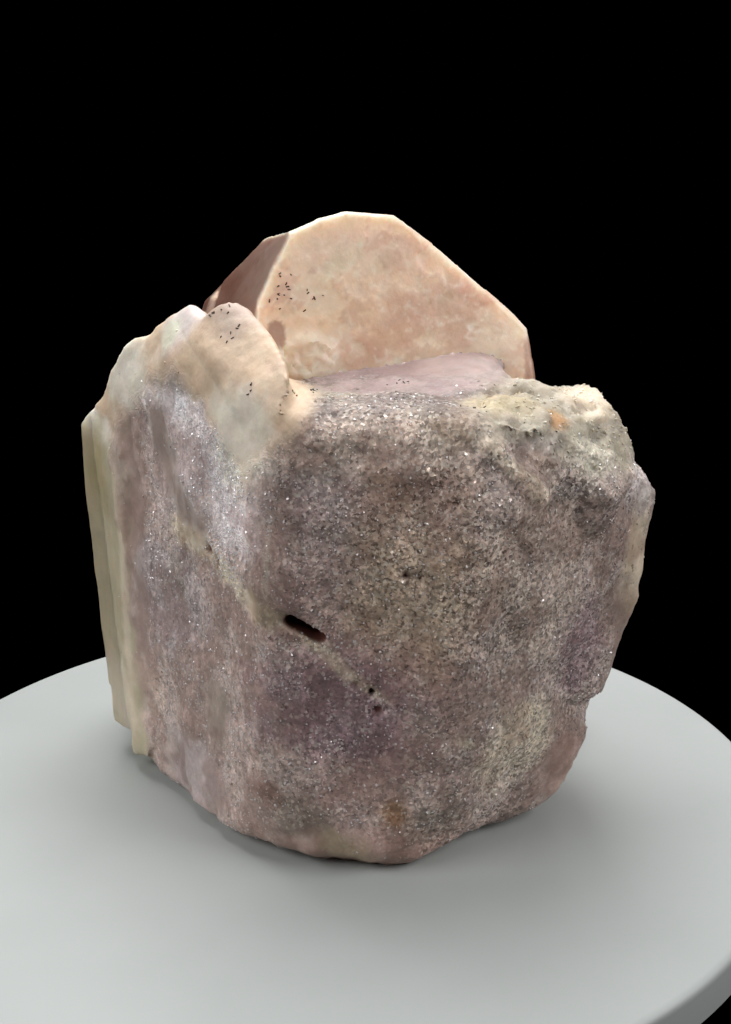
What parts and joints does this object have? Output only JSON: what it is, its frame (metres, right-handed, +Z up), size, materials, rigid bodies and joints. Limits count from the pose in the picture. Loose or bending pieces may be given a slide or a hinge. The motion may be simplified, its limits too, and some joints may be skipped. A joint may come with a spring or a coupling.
{
  "type": "morganite crystal specimen",
  "caption": "Hand specimen: a stout tabular morganite crystal standing in a granular lilac matrix, with pale side crystals, a slab and a crumbly crust.",
  "frame": {"origin": "centre of the box round the specimen, on the flat base that it stands on", "axes": "+Z up, -Y the side that shows the crystal's main face, +X to the right seen from that side"},
  "size_m": [0.0902, 0.0692, 0.0922],
  "materials": {
    "matrix": "rough, granular, with small mica glints",
    "morganite": "translucent, satin to glassy, finely etched",
    "pale_crystal": "translucent, waxy",
    "lavender_crystal": "translucent, smooth",
    "feldspar": "translucent, smooth cleavage",
    "albite": "rough, crumbly"
  },
  "bodies": {
    "root": {"matrix": "matrix", "morganite_crystal": "morganite", "side_crystals": "pale_crystal", "lavender_crystal": "lavender_crystal", "feldspar_slab": "feldspar", "albite_crust": "albite"}
  },
  "joints": []
}
